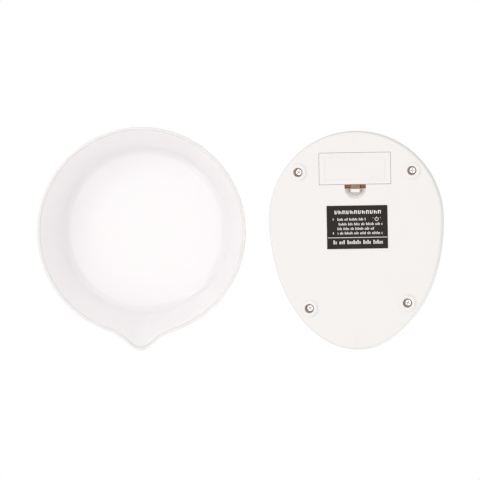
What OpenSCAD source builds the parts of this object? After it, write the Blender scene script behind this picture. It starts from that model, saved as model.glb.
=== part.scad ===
// Digital kitchen scale with its pouring bowl, in millimetres.
// The scale stands on its feet beside the bowl, which lies mouth down on the same surface.
// The origin is the middle of the set's footprint, +Y points to the wide rear end of the
// scale, and +Z points up.

/* [Housing] */
// Width of the egg-shaped housing at its widest line
body_w = 184; // [170:1:225]
// Length from the widest line back to the rear edge
rear_len = 93; // [88:1:115]
// Length from the widest line forward to the narrow front edge
front_len = 137; // [126:1:165]
// Height of the seam between the two housing shells
seam_z = 15; // [14:0.5:18]
// Height of the housing's top face
body_top = 27; // [26:0.5:32]
// Thickness of the shells' side walls
wall = 2.2; // [1.6:0.1:3]
// Thickness of the base plate
base_t = 2.2; // [1.8:0.1:3]
// Thickness of the top plate
top_t = 2; // [1.6:0.1:3]
// Radius of the lower outside edge
edge_r = 2.5; // [1:0.1:4]
// How far the lower side wall leans in at the bottom
draft = 1; // [0:0.1:2]
// How far the rounded upper edge reaches in from the outline
dome_in = 9; // [5:0.5:12]

/* [Feet and screws] */
// Height of the foot rings below the base plate
foot_h = 2; // [1:0.1:3]
// Outside radius of a foot ring
foot_r = 8.2; // [7:0.1:10]
// Radius of a screw well
well_r = 4.9; // [4:0.1:6]
// Depth of a screw well, from the base plate to the screw's seat
well_depth = 12; // [8:0.1:13]
// Distance of a screw well's axis from the outline, measured across
screw_edge = 17.4; // [14:0.1:22]
// Distance of the rear screws behind the widest line
screw_rear_y = 50.5; // [40:0.5:60]
// Distance of the front screws in front of the widest line
screw_front_y = 90.5; // [80:0.5:100]
// How much further forward the +X front screw stands than the other one
screw_skew = 4.2; // [0:0.1:5]
// Radius of the housing screws' heads
screw_head_r = 3.25; // [2.5:0.05:4]
// Radius of the housing screws' shanks
screw_r = 1.5; // [1:0.05:2]

/* [Battery bay] */
// Width of the battery cover
cover_w = 75; // [70:0.5:85]
// Length of the battery cover, front to rear
cover_l = 33; // [33:0.5:40]
// Thickness of the battery cover
cover_t = 2; // [1.5:0.1:2.2]
// Distance of the cover's middle behind the widest line
cover_y = 53.7; // [48:0.1:58]
// Width of the seam round the battery cover
cover_gap = 0.35; // [0.2:0.05:0.8]
// Diameter of a cell
cell_d = 14.2; // [10:0.1:14.5]
// Length of a cell with its terminal
cell_l = 50.5; // [44:0.1:51]
// Width of the finger recess in front of the cover
recess_w = 22.5; // [18:0.5:28]
// Length of the finger recess
recess_l = 15.2; // [13:0.1:18]
// Depth of the finger recess
recess_depth = 8; // [6:0.1:10]
// Length of the deep slot that the cover's spring latch bends into
slot_l = 4.2; // [3:0.1:5]
// Width of the cover's spring latch
latch_w = 9.5; // [7:0.1:12]

/* [Label] */
// Width of the label
label_w = 64; // [50:0.5:75]
// Length of the label, front to rear
label_l = 45.5; // [35:0.5:50]
// Distance of the label's middle in front of the widest line
label_front = 7.9; // [4:0.1:12]
// Distance of the label's middle from the scale's middle plane, as it was stuck on
label_side = 1.5; // [0:0.1:3]

/* [Weighing platform] */
// Radius of the weighing platform
platform_r = 75; // [65:0.5:80]
// Height of the platform's top face above the surface
platform_top = 38; // [36:0.5:44]
// Thickness of the platform's plate and skirt
platform_t = 2.2; // [1.6:0.1:3]
// Gap between the housing's top face and the platform's skirt
platform_gap = 1.5; // [1:0.1:3]
// How far the platform sinks under its full load
travel = 0.6; // [0.3:0.05:1]
// Length of the load cell's bar
bar_l = 80; // [70:1:90]
// Width and height of the load cell's bar
bar_w = 12.7; // [10:0.1:12.7]

/* [Display and buttons] */
// Width of the display's window
window_w = 45; // [36:0.5:46]
// Length of the display's window, front to rear
window_l = 18; // [14:0.5:19]
// Distance of the control panel from the nose of the housing
panel_edge = 21; // [18:0.5:26]
// Angle from where a button's flange would touch the display's frame to the button
button_angle = 0.55; // [0.3:0.05:2]
// Radius of a button
button_r = 5.5; // [4.5:0.1:6]
// How far a button stands above the housing
button_proud = 0.9; // [0.8:0.1:1.5]
// How far a button travels
button_travel = 0.8; // [0.4:0.1:0.8]

/* [Bowl] */
// Radius of the bowl's rim
bowl_r = 110; // [95:1:125]
// Height of the bowl
bowl_h = 61; // [50:1:75]
// Radius of the bowl's flat base
bowl_base_r = 79; // [74:1:82]
// Radius of the bend between the bowl's base and its wall
bowl_bend = 12; // [8:0.5:16]
// Thickness of the bowl's wall
bowl_t = 1.9; // [1.5:0.1:3]
// Width of the bowl's thickened rim
rim_w = 3; // [2.4:0.1:5]
// How far the pouring spout reaches past the rim
spout_reach = 15.5; // [8:0.5:20]
// Angle on either side at which the spout has dropped to about a third of its reach
spout_angle = 8.7; // [6:0.1:14]
// How far the loose bowl is turned where it lies
bowl_turn = 1.4; // [0:0.1:5]
// Distance of the bowl's foot ring inside the platform's edge
ring_edge = 9; // [8:0.5:14]
// Gap between the scale and the bowl
gap = 24; // [10:1:60]

/* [Hidden] */
$fn = 64;
abs_white = [0.94, 0.93, 0.92];
abs_grey = [0.62, 0.65, 0.68];
clear_white = [0.96, 0.96, 0.97];
zinc = [0.75, 0.75, 0.73];
aluminium = [0.80, 0.81, 0.82];
rubber = [0.12, 0.12, 0.12];
board_green = [0.10, 0.38, 0.20];
label_brown = [0.13, 0.09, 0.08];
slice = 0.01;
cut = 1;
root = 0.2;
egg_steps = 96;
bend_steps = 6;
edge_steps = 5;

// Layout: the set's footprint is centred on the origin, and the platform's axis lies in front
// of the housing's widest line.
platform_front = 9;
half_set = (body_w + gap + 2 * bowl_r) / 2;
scale_x = -half_set + body_w / 2;
bowl_x = half_set - bowl_r;
widest_y = (front_len - bowl_r + platform_front) / 2;
centre_y = widest_y - platform_front;
base_z = foot_h;
base_top = base_z + base_t;

// The joint between the shells: a lip on the lower one runs inside the upper one.
lip_h = 2;
lip_gap = 0.15;

// Inside the lower shell: ribs on the base plate, and two marks that the mould leaves outside.
rib_t = 1.2;
rib_h = 2.2;
cross_ribs = [-60, -30];
long_rib_x = 38;
long_rib_y = -46;
long_rib_l = 60;
rib_clear = 12;
mark_r = 2.6;
mark_depth = 0.4;
mark_rear = 8.5;
mark_front = 10.5;

// Screws: a fit is a snug hole round a shank, and a pass is a loose one.
fit = 0.05;
pass = 0.4;
seat_z = base_z + well_depth;
seat_t = 1.6;
post_wall = 1.8;
boss_r = 3.6;
head_h = 2.3;
screw_bite = 7;
inner_head_r = 3.5;

// Battery bay, whose parts are placed about the cover's middle.
bay_wall = 1.6;
contact_t = 0.5;
spring_l = 6;
bay_clear = 0.25;
cell_pitch = cell_d + 0.8;
bay_l = cell_l + spring_l + 2 * (contact_t + bay_clear);
bay_w = 2 * cell_pitch + 0.4;
cell_z = base_z + cover_t + 0.6 + cell_d / 2;
bay_top = cell_z + cell_d / 2 + 1;
box_w = cover_w + 2 * cover_gap + 2 * bay_wall;
box_l = cover_l + 2 * cover_gap + 2 * bay_wall;
ledge_z = base_z + cover_t + 0.3;
tab_w = 9;
tab_x = 22;
tab_l = 3;
tab_h = 1.5;
tab_gap = 0.2;
latch_t = 1.4;
latch_reach = 9.8;
latch_h = 7.2;
latch_end_t = 3.4;
latch_proud = 0.6;
recess_lean = 5;
slot_depth = 12;
panel_line_side = 5.5;
panel_line_end = 4.5;
panel_line_w = 1;
panel_line_depth = 0.3;
nub_r = 2.7;
nub_l = 1.2;
contact_w = 11;
contact_h = 10;
spring_wire_r = 0.35;
spring_turns = 3;
spring_r0 = 4.4;
spring_r1 = 2;

// Label
label_t = 0.2;

// Load cell, along X, with its free end towards -X.
bar_z = 8;
bar_top = bar_z + bar_w;
bar_end = bar_l / 2;
hole_1 = 5;
hole_2 = 20;
cell_screw_r = 2;
platform_screw_l = 16;
flex_r = 4.6;
flex_x = 7.5;
flex_slot = 4;
seal_l = 24;
seal_w = 9;
seal_t = 0.8;
spacer_l = 26;
spacer_t = 2;
bracket_z = bar_top + 3.5;
bracket_t = 2;
bracket_r = bar_end + 2;
bracket_rib_y = 12;
bracket_rib_t = 1.6;
bracket_rib_h = 4;
flange_in = 14;
flange_r = platform_r - flange_in;
flange_hole_r = 6;
platform_edge_r = 4;
flange_z = platform_top - platform_t - bracket_t;
skirt_z = body_top + platform_gap;
deck_hole_r = bracket_r + 3;
deck_rim = 1.6;
deck_rim_h = 1.5;
pad_r = 4;
pad_ring_r = (deck_hole_r + flange_r) / 2;

// Control panel, a band bent round the platform, and what sits under it.
panel_t = 0.8;
panel_in = platform_r + 4;
panel_out = front_len - platform_front - panel_edge;
panel_mid = (panel_in + panel_out) / 2;
panel_half = (panel_out - panel_in) / 2;
panel_z = body_top - panel_t;
window_t = 0.8;
window_lip = 2;
lcd_t = 2.2;
frame_w = 4;
lcd_w = window_w + 3;
lcd_l = window_l + 2;
button_gap = 0.3;
flange_t = 1;
flange_w = 1;
touch_x = (lcd_w + frame_w) / 2 + button_r + flange_w;
button_turn = asin(touch_x / panel_mid) + button_angle;
button_x = panel_mid * sin(button_turn);
button_y = -panel_mid * cos(button_turn);
plate_z = body_top - top_t;
board_t = 1.6;
board_z = plate_z - 8;
board_top = board_z + board_t;
board_edge = 5;
board_l = 32;
board_back = 3.7;
board_y = button_y - board_back;
board_screw_out = 4.7;
board_screw_x = button_x + board_screw_out;
board_w = 2 * (board_screw_x + board_edge);
board_screw_y = 12;
board_screw_r = 1;
board_boss_r = 3;
board_head_r = 2.2;
board_head_h = 1.6;
switch_w = 6;
switch_h = 3.4;
plunger_r = 1.7;
plunger_h = 1.4;
stem_r = 2;
lcd_top = plate_z - 0.4;
lcd_gap = 0.3;
connector_w = 2.4;
connector_y = 2.2;
chip_y = -4;
chip_r = 7;
chip_h = 2.4;
chip_ball_r = 12;
capacitor_y = 9;
capacitor_r = 2.5;
capacitor_h = 5;
capacitor_xs = [-22, 20];

// Bowl: lying mouth down, its rim is at the surface and its base on top.
ring_r = platform_r - ring_edge;
ring_h = 1.2;
ring_w = 3;
groove_d = 0.8;
groove_clear = 1;
bowl_steps = 96;
spout_crowd = 0.65;

// ---------------------------------------------------------------- shared shapes

// A point of the egg outline: an ellipse whose front half is longer than its rear half,
// moved in along its normal.
function egg_point(t, inset) =
    let (a = body_w / 2, b = sin(t) > 0 ? rear_len : front_len, n = [cos(t) / a, sin(t) / b])
    [a * cos(t), b * sin(t)] - inset * n / norm(n);

function egg(inset) = [for (i = [0:egg_steps - 1]) egg_point(360 * i / egg_steps, inset)];

// Half the outline's width at a distance from the widest line, negative to the front.
function egg_half(y) = body_w / 2 * sqrt(1 - pow(y / (y > 0 ? rear_len : front_len), 2));

module at_scale() {
    translate([scale_x, widest_y, 0]) children();
}

module at_platform() {
    translate([scale_x, centre_y, 0]) children();
}

module at_bay() {
    translate([scale_x, widest_y + cover_y, 0]) children();
}

module egg_prism(inset, z0, z1) {
    translate([0, 0, z0]) linear_extrude(z1 - z0) polygon(egg(inset));
}

// One convex solid through a list of [inset, height] levels.
module egg_solid(levels) {
    hull() for (p = levels) egg_prism(p[0], p[1], p[1] + slice);
}

module block(w, l, z0, z1) {
    translate([-w / 2, -l / 2, z0]) cube([w, l, z1 - z0]);
}

module rod(r, z0, z1) {
    translate([0, 0, z0]) cylinder(r = r, h = z1 - z0);
}

module in_mirror() {
    children();
    mirror([1, 0, 0]) children();
}

module at_screws() {
    in_mirror() translate([egg_half(screw_rear_y) - screw_edge, screw_rear_y, 0]) children();
    for (s = [-1, 1]) {
        y = -screw_front_y - s * screw_skew / 2;
        translate([s * (egg_half(y) - screw_edge), y, 0]) children();
    }
}

// A round wire or coil along a path, with its section turned about ref.
module tube(path, r, ref = [0, 0, 1], sides = 8) {
    n = len(path);
    function dir(i) = path[min(i + 1, n - 1)] - path[max(i - 1, 0)];
    function side(i) = cross(dir(i), ref) / norm(cross(dir(i), ref));
    function up(i) = cross(side(i), dir(i)) / norm(dir(i));
    points = [for (i = [0:n - 1]) for (k = [0:sides - 1])
        path[i] + r * (cos(360 * k / sides) * side(i) + sin(360 * k / sides) * up(i))];
    function at(i, k) = i * sides + k % sides;
    walls = [for (i = [0:n - 2]) for (k = [0:sides - 1])
        for (f = [[at(i, k), at(i, k + 1), at(i + 1, k + 1)], [at(i, k), at(i + 1, k + 1), at(i + 1, k)]]) f];
    first = [for (k = [sides - 1:-1:0]) at(0, k)];
    last = [for (k = [0:sides - 1]) at(n - 1, k)];
    polyhedron(points, concat(walls, [first, last]));
}

// A Phillips screw standing head down at the origin, shank up.
module screw(head_r, head_h, shank_r, shank_l) {
    difference() {
        union() {
            rod(head_r, 0, head_h);
            rod(shank_r, head_h, head_h + shank_l);
        }
        for (a = [0, 90]) rotate(a) block(1.2 * head_r, 0.3 * head_r, -cut, head_h * 0.6);
    }
}

// The levels of the lower shell: a small round edge and then a leaning wall.
function lower_levels(inset, z0, z1) = concat(
    [for (i = [0:edge_steps]) let (a = 90 * i / edge_steps)
        [inset + draft + edge_r * (1 - sin(a)), z0 + edge_r * (1 - cos(a))]],
    [[inset, z1 - slice]]
);

// The levels of the upper shell: a quarter of an ellipse from the seam to the top face.
function upper_levels(inset, z0, z1) =
    [for (i = [0:bend_steps]) let (a = 90 * i / bend_steps)
        [inset + dome_in * (1 - cos(a)), z0 + (z1 - z0 - slice) * sin(a)]];

// ---------------------------------------------------------------- housing

// The outline of the finger recess: a half-round front and straight sides.
module recess_outline(inset) {
    r = recess_w / 2 - inset;
    front = cover_l / 2 + cover_gap;
    straight_l = recess_l - recess_w / 2;
    translate([0, -front - straight_l]) intersection() {
        circle(r);
        translate([0, -r]) square(2 * r, center = true);
    }
    translate([0, -front - straight_l / 2]) square([2 * r, straight_l + slice], center = true);
}

// The finger recess, whose walls lean in towards its bottom. Grow makes the solid that stands
// round it inside the shell.
module latch_pocket(z0, z1, grow) {
    hull() {
        translate([0, 0, z0]) linear_extrude(slice) recess_outline(-grow);
        translate([0, 0, z1 - slice]) linear_extrude(slice) recess_outline(recess_lean - grow);
    }
}

// The deep slot between the cover's edge and the recess.
module latch_slot(z0, z1, grow) {
    translate([0, -cover_l / 2 - cover_gap - slot_l / 2, 0])
        block(recess_w + 2 * grow, slot_l + 2 * grow, z0, z1);
}

module bottom_shell() {
    difference() {
        egg_solid(lower_levels(0, base_z, seam_z));
        egg_solid(lower_levels(wall, base_top, seam_z + cut));
    }
    difference() {
        egg_prism(wall / 2 + lip_gap, seam_z - 0.5, seam_z + lip_h);
        egg_prism(wall + 0.3, seam_z - cut, seam_z + lip_h + cut);
    }
}

module base_ribs() {
    for (y = cross_ribs) translate([0, y, 0])
        block(2 * egg_half(y) - rib_clear, rib_t, base_top - root, base_top + rib_h);
    in_mirror() translate([long_rib_x, long_rib_y, 0])
        block(rib_t, long_rib_l, base_top - root, base_top + rib_h);
}

module bottom_cover() {
    color(abs_white) difference() {
        union() {
            at_scale() {
                bottom_shell();
                base_ribs();
                at_screws() rod(well_r + post_wall, base_z + 0.5, seat_z + seat_t);
                at_screws() rod(foot_r, 0, base_z + 0.5);
            }
            at_bay() {
                block(box_w, box_l, base_z + 0.5, bay_top + bay_wall);
                latch_pocket(base_z + 0.5, base_z + recess_depth + bay_wall, bay_wall);
                latch_slot(base_z + 0.5, base_z + slot_depth + bay_wall, bay_wall);
            }
            at_platform() translate([bar_end - spacer_l / 2, 0, 0])
                block(spacer_l + 4, bar_w + 6, base_top - root, bar_z - spacer_t);
        }
        at_scale() at_screws() {
            rod(well_r, -cut, seat_z);
            rod(screw_r + pass, seat_z - cut, seat_z + seat_t + cut);
        }
        at_bay() {
            block(cover_w + 2 * cover_gap, cover_l + 2 * cover_gap, -cut, ledge_z);
            block(bay_l, bay_w, ledge_z - cut, bay_top);
            latch_pocket(base_z - slice, base_z + recess_depth, 0);
            latch_slot(-cut, base_z + slot_depth, 0);
            translate([0, -cover_l / 2, 0])
                block(latch_w + 2, 2 * latch_t + 1.2, -cut, base_z + recess_depth);
            in_mirror() translate([tab_x, cover_l / 2 + tab_l / 2, 0])
                block(tab_w + 1, tab_l + 3, base_top + 0.05, base_top + 4.4);
        }
        at_scale() for (y = [red_y, black_y]) translate([box_end, y, wire_z]) rotate([0, -90, 0])
            rod(wire_r + pass, -cut, box_w / 2 - bay_l / 2 + cut);
        at_platform() for (x = [hole_1, hole_2]) translate([bar_end - x, 0, 0])
            rod(cell_screw_r + fit, base_z + 1, bar_z);
        at_scale() for (y = [rear_len - mark_rear, mark_front - front_len]) translate([0, y, 0])
            rod(mark_r, -cut, base_z + mark_depth);
    }
}

module top_cover() {
    color(abs_white) {
        difference() {
            union() {
                at_scale() {
                    difference() {
                        egg_solid(upper_levels(0, seam_z, body_top));
                        egg_solid(upper_levels(wall, seam_z - cut, plate_z));
                        egg_prism(wall / 2, seam_z - cut, seam_z + lip_h + 0.2);
                    }
                    at_screws() rod(boss_r, seat_z + seat_t + 0.1, plate_z + 0.5);
                    at_panel_screws() rod(board_boss_r, board_top, plate_z + 0.5);
                }
                at_platform() difference() {
                    rod(deck_hole_r + deck_rim, plate_z - deck_rim_h, plate_z + 0.5);
                    rod(deck_hole_r, plate_z - deck_rim_h - cut, plate_z + cut);
                }
            }
            at_scale() at_screws() rod(screw_r + fit, seat_z, seat_z + seat_t + screw_bite + 1);
            at_scale() at_panel_screws() rod(board_screw_r + fit, board_top - cut, board_top + 5);
            at_platform() {
                rod(deck_hole_r, plate_z - cut, body_top + cut);
                translate([0, 0, panel_z]) linear_extrude(panel_t + cut) panel_outline(0.1);
                translate([0, -panel_mid, 0]) block(window_w + 2 * window_lip + 0.4,
                    window_l + 2 * window_lip + 0.4, plate_z - cut, body_top + cut);
                in_mirror() translate([button_x, button_y, 0])
                    rod(button_r + button_gap, plate_z - cut, body_top + cut);
            }
        }
    }
}

module housing_screws() {
    color(zinc) at_scale() at_screws() translate([0, 0, seat_z - head_h])
        screw(screw_head_r, head_h, screw_r, seat_t + screw_bite);
}

module instruction_label() {
    color(label_brown) at_scale() translate([-label_side, -label_front, 0])
        block(label_w, label_l, base_z - label_t, base_z);
}

// ---------------------------------------------------------------- battery bay

// The cover turns about its lower rear edge, on two tabs that lie over the base plate.
// Its latch is a U-shaped spring finger that ends in the finger recess.
module battery_cover() {
    front = -cover_l / 2;
    low = base_z;
    tab_z = base_top + tab_gap;
    line_w = cover_w - 2 * panel_line_side;
    line_l = cover_l - 2 * panel_line_end;
    color(abs_white) at_bay() difference() {
        union() {
            block(cover_w, cover_l, low, low + cover_t);
            in_mirror() translate([tab_x, cover_l / 2 - tab_l / 2, 0])
                block(tab_w, tab_l, low + cover_t - slice, tab_z + tab_h);
            in_mirror() translate([tab_x, cover_l / 2, 0]) block(tab_w, 2 * tab_l, tab_z, tab_z + tab_h);
            translate([0, front + latch_t / 2, 0]) block(latch_w, latch_t, low, low + latch_h);
            translate([0, front + latch_t - latch_reach / 2, 0])
                block(latch_w, latch_reach, low + latch_h - latch_t, low + latch_h);
            translate([0, front + latch_t - latch_reach + latch_end_t / 2, 0])
                block(latch_w, latch_end_t, low + latch_proud, low + latch_h);
        }
        difference() {
            block(line_w, line_l, -cut, low + panel_line_depth);
            block(line_w - 2 * panel_line_w, line_l - 2 * panel_line_w, -2 * cut, low + cut);
        }
    }
}

// A cell lying along X with its terminal towards +X.
module cell() {
    rotate([0, 90, 0]) {
        rod(cell_d / 2, -cell_l / 2, cell_l / 2 - nub_l);
        rod(nub_r, cell_l / 2 - nub_l - slice, cell_l / 2);
    }
}

module battery_rear() {
    color("dimgray") at_bay() translate([spring_l / 2, cell_pitch / 2, cell_z]) cell();
}

module battery_front() {
    color("dimgray") at_bay() translate([-spring_l / 2, -cell_pitch / 2, cell_z]) mirror([1, 0, 0]) cell();
}

// A contact plate against the bay's +X end, with a conical coil spring or a dimple.
module contact_plate(w) {
    translate([bay_l / 2 - contact_t, -w / 2, cell_z - contact_h / 2]) cube([contact_t, w, contact_h]);
}

module contact_spring() {
    x0 = bay_l / 2 - contact_t - spring_wire_r + 0.05;
    run = spring_l - 2 * spring_wire_r - 0.1;
    steps = 12 * spring_turns;
    coil = [for (i = [0:steps])
        let (a = 360 * spring_turns * i / steps, r = spring_r0 + (spring_r1 - spring_r0) * i / steps)
        [x0 - run * i / steps, r * cos(a), cell_z + r * sin(a)]];
    tube(coil, spring_wire_r, [1, 0, 0], 6);
}

module battery_positive_contact() {
    color(zinc) at_bay() translate([0, cell_pitch / 2, 0]) contact_plate(contact_w);
}

module battery_negative_contact() {
    color(zinc) at_bay() translate([0, -cell_pitch / 2, 0]) {
        contact_plate(contact_w);
        contact_spring();
    }
}

module battery_link_contact() {
    color(zinc) at_bay() mirror([1, 0, 0]) {
        contact_plate(cell_pitch + contact_w);
        translate([0, cell_pitch / 2, 0]) contact_spring();
    }
}

// ---------------------------------------------------------------- load cell and platform

module load_cell() {
    color(aluminium) at_platform() difference() {
        block(bar_l, bar_w, bar_z, bar_top);
        in_mirror() translate([flex_x, 0, bar_z + bar_w / 2]) rotate([90, 0, 0]) rod(flex_r, -bar_w, bar_w);
        block(2 * flex_x, bar_w + 2 * cut, bar_z + (bar_w - flex_slot) / 2, bar_z + (bar_w + flex_slot) / 2);
        for (s = [-1, 1]) for (x = [hole_1, hole_2]) translate([s * (bar_end - x), 0, 0])
            rod(cell_screw_r + fit, bar_z - cut, bar_top + cut);
    }
}

module strain_gauge_seals() {
    color("ivory") at_platform() {
        block(seal_l, seal_w, bar_top, bar_top + seal_t);
        block(seal_l, seal_w, bar_z - seal_t, bar_z);
    }
}

module load_cell_spacer() {
    color(zinc) at_platform() difference() {
        translate([bar_end - spacer_l / 2, 0, 0]) block(spacer_l, bar_w, bar_z - spacer_t, bar_z);
        for (x = [hole_1, hole_2]) translate([bar_end - x, 0, 0])
            rod(cell_screw_r + fit, bar_z - spacer_t - cut, bar_z + cut);
    }
}

module load_cell_screws() {
    color(zinc) at_platform() for (x = [hole_1, hole_2]) translate([bar_end - x, 0, bar_top + head_h])
        rotate([180, 0, 0]) screw(inner_head_r, head_h, cell_screw_r, bar_top - base_z - 1.2);
}

module platform_spacer() {
    color(zinc) at_platform() difference() {
        translate([spacer_l / 2 - bar_end, 0, 0]) block(spacer_l, bar_w, bar_top, bracket_z);
        for (x = [hole_1, hole_2]) translate([x - bar_end, 0, 0])
            rod(cell_screw_r + fit, bar_top - cut, bracket_z + cut);
    }
}

// The bracket is a cup that hangs through the deck, with a wide flange under the platform.
module platform_bracket() {
    color(abs_white) at_platform() difference() {
        union() {
            rotate_extrude() polygon([
                [0, bracket_z], [bracket_r, bracket_z], [bracket_r, flange_z], [flange_r, flange_z],
                [flange_r, flange_z + bracket_t], [bracket_r - bracket_t, flange_z + bracket_t],
                [bracket_r - bracket_t, bracket_z + bracket_t], [0, bracket_z + bracket_t]
            ]);
            for (y = [-bracket_rib_y, bracket_rib_y]) translate([0, y, bracket_z + bracket_t])
                block(2 * (bracket_r - platform_edge_r) - 4, bracket_rib_t, -slice, bracket_rib_h);
        }
        for (x = [hole_1, hole_2]) translate([x - bar_end, 0, 0])
            rod(cell_screw_r + fit, bracket_z - cut, bracket_z + bracket_t + cut);
        for (a = [45:90:315]) rotate(a) translate([(bracket_r + flange_r) / 2, 0, 0])
            rod(flange_hole_r, flange_z - cut, flange_z + bracket_t + cut);
    }
}

module platform_screws() {
    color(zinc) at_platform() for (x = [hole_1, hole_2])
        translate([x - bar_end, 0, bracket_z + bracket_t + head_h])
            rotate([180, 0, 0]) screw(inner_head_r, head_h, cell_screw_r, platform_screw_l);
}

module weighing_platform() {
    bend_r = platform_edge_r - platform_t;
    groove_0 = ring_r - ring_w / 2 - groove_clear;
    groove_1 = ring_r + ring_w / 2 + groove_clear;
    outer = [for (i = [0:bend_steps]) let (a = 90 - 90 * i / bend_steps)
        [platform_r, platform_top] + platform_edge_r * [cos(a) - 1, sin(a) - 1]];
    inner = [for (i = [0:bend_steps]) let (a = 90 * i / bend_steps)
        [platform_r - platform_edge_r, platform_top - platform_edge_r] + bend_r * [cos(a), sin(a)]];
    color(abs_white) at_platform() rotate_extrude($fn = 128) polygon(concat(
        [[0, platform_top], [groove_0, platform_top], [groove_0, platform_top - groove_d],
            [groove_1, platform_top - groove_d], [groove_1, platform_top]],
        outer,
        [[platform_r, skirt_z], [platform_r - platform_t, skirt_z]],
        inner,
        [[0, platform_top - platform_t]]
    ));
}

module overload_pads() {
    color(rubber) at_platform() for (a = [0:90:270]) rotate(a) translate([pad_ring_r, 0, 0])
        rod(pad_r, body_top, flange_z - travel - 0.2);
}

// ---------------------------------------------------------------- display and buttons

// A band bent round the platform's axis, with round ends about the buttons.
module panel_outline(grow) {
    r = panel_half + grow;
    a = button_turn;
    steps = 16;
    function arc(c, r, from, to) = [for (i = [0:steps]) let (t = from + (to - from) * i / steps)
        c + r * [sin(t), -cos(t)]];
    polygon(concat(
        arc([0, 0], panel_mid + r, -a, a),
        arc([button_x, button_y], r, a + 8, a + 172),
        arc([0, 0], panel_mid - r, a, -a),
        arc([-button_x, button_y], r, -a - 172, -a - 8)
    ));
}

module at_panel_screws() {
    for (s = [-1, 1]) for (y = [-1, 1])
        translate([s * board_screw_x, board_y - platform_front + y * board_screw_y, 0]) children();
}

module control_panel() {
    color(abs_grey) at_platform() difference() {
        translate([0, 0, panel_z]) linear_extrude(panel_t) panel_outline(0);
        translate([0, -panel_mid, 0]) block(window_w, window_l, panel_z - cut, body_top + cut);
        in_mirror() translate([button_x, button_y, 0])
            rod(button_r + button_gap, panel_z - cut, body_top + cut);
    }
}

module display_window() {
    color([0.75, 0.8, 0.85, 0.5]) at_platform() translate([0, -panel_mid, 0])
        block(window_w + 2 * window_lip, window_l + 2 * window_lip, panel_z - window_t, panel_z);
}

module button_cap(side) {
    color(abs_grey) at_platform() translate([side * button_x, button_y, 0]) {
        rod(button_r, plate_z - 1, body_top + button_proud);
        rod(button_r + flange_w, plate_z - flange_t - 0.1, plate_z - 0.1);
        rod(stem_r, board_top + switch_h + plunger_h, plate_z - 0.5);
    }
}

module button_plunger(side) {
    color(rubber) at_platform() translate([side * button_x, button_y, 0])
        rod(plunger_r, board_top + switch_h - 0.3, board_top + switch_h + plunger_h);
}

module button_switch(side) {
    color("silver") at_platform() translate([side * button_x, button_y, 0]) difference() {
        block(switch_w, switch_w, board_top, board_top + switch_h);
        rod(plunger_r + 0.1, board_top + switch_h - button_travel - 0.4, board_top + switch_h + cut);
    }
}

module power_button() { button_cap(1); }
module unit_button() { button_cap(-1); }
module power_plunger() { button_plunger(1); }
module unit_plunger() { button_plunger(-1); }
module power_switch() { button_switch(1); }
module unit_switch() { button_switch(-1); }

module circuit_board() {
    color(board_green) difference() {
        at_platform() translate([0, board_y, 0]) block(board_w, board_l, board_z, board_top);
        at_scale() at_panel_screws() rod(board_screw_r + pass, board_z - cut, board_top + cut);
    }
}

module board_screws() {
    color(zinc) at_scale() at_panel_screws() translate([0, 0, board_z - board_head_h])
        screw(board_head_r, board_head_h, board_screw_r, board_t + 4.4);
}

module controller_chip() {
    color(rubber) at_platform() translate([0, board_y + chip_y, 0]) intersection() {
        rod(chip_r, board_z - chip_h, board_z);
        translate([0, 0, board_z - chip_h + chip_ball_r]) sphere(chip_ball_r);
    }
}

module board_capacitors() {
    color("darkslateblue") at_platform() for (x = capacitor_xs) translate([x, board_y + capacitor_y, 0])
        rod(capacitor_r, board_z - capacitor_h, board_z);
}

module lcd_frame() {
    color(abs_white) at_platform() translate([0, -panel_mid, 0]) difference() {
        block(lcd_w + frame_w, lcd_l + frame_w, board_top, lcd_top);
        block(lcd_w + lcd_gap, lcd_l + lcd_gap, lcd_top - lcd_t - 0.1, lcd_top + cut);
        block(lcd_w - 3, lcd_l - 1, board_top - cut, lcd_top);
    }
}

module lcd_panel() {
    color([0.62, 0.68, 0.6]) at_platform() translate([0, -panel_mid, 0])
        block(lcd_w, lcd_l, lcd_top - lcd_t - 0.1, lcd_top - 0.1);
}

module lcd_connector() {
    color("hotpink") at_platform() translate([0, -panel_mid - lcd_l / 2 + connector_y, 0])
        block(lcd_w - 6, connector_w, board_top, lcd_top - lcd_t - 0.1);
}

// ---------------------------------------------------------------- wires

// The wires' routes, in the scale's own places: x across, y from the widest line, z up.
// Each leaves a contact through a hole in the bay's wall and ends under the circuit board.
wire_z = 15;
wire_end = board_z - 0.1;
red_y = cover_y + cell_pitch / 2;
black_y = cover_y - cell_pitch / 2;
bay_end = bay_l / 2 + 0.1;
box_end = box_w / 2;
red_route = [[bay_end, red_y, wire_z], [box_end, red_y, wire_z], [box_end + 5, red_y - 2, wire_z],
    [box_end + 8, red_y - 8, 14], [48, 40, 12], [48, 20, 9], [48, -5, 8], [48, -40, 8], [44, -62, 9],
    [37, -76, 10], [34, -84, 12], [34, -86, wire_end - 2], [34, -86, wire_end]];
black_route = [[bay_end, black_y, wire_z], [box_end, black_y, wire_z], [box_end + 3, black_y - 2, 14.5],
    [box_end + 4.5, black_y - 8, 13], [44.5, 28, 11], [44.5, 14, 8], [44.5, -5, 8], [44.5, -40, 8],
    [40, -62, 9], [33, -76, 10], [30, -84, 12], [30, -86, wire_end - 2], [30, -86, wire_end]];
gauge_route = [[-2, -16.2, 14], [-2, -20, 12], [-4, -30, 8.5], [-6, -44, 8.5], [-8, -58, 9], [-10, -70, 10],
    [-10, -78, 12], [-10, -80, wire_end - 2], [-10, -80, wire_end]];
wire_r = 0.7;
cable_r = 1.1;
wire_ref = [0.5, 0.3, 1];

module battery_wire_red() {
    color("red") at_scale() tube(red_route, wire_r, wire_ref);
}

module battery_wire_black() {
    color("black") at_scale() tube(black_route, wire_r, wire_ref);
}

module load_cell_cable() {
    color("gray") at_scale() tube(gauge_route, cable_r, wire_ref);
}

// ---------------------------------------------------------------- bowl

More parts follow.
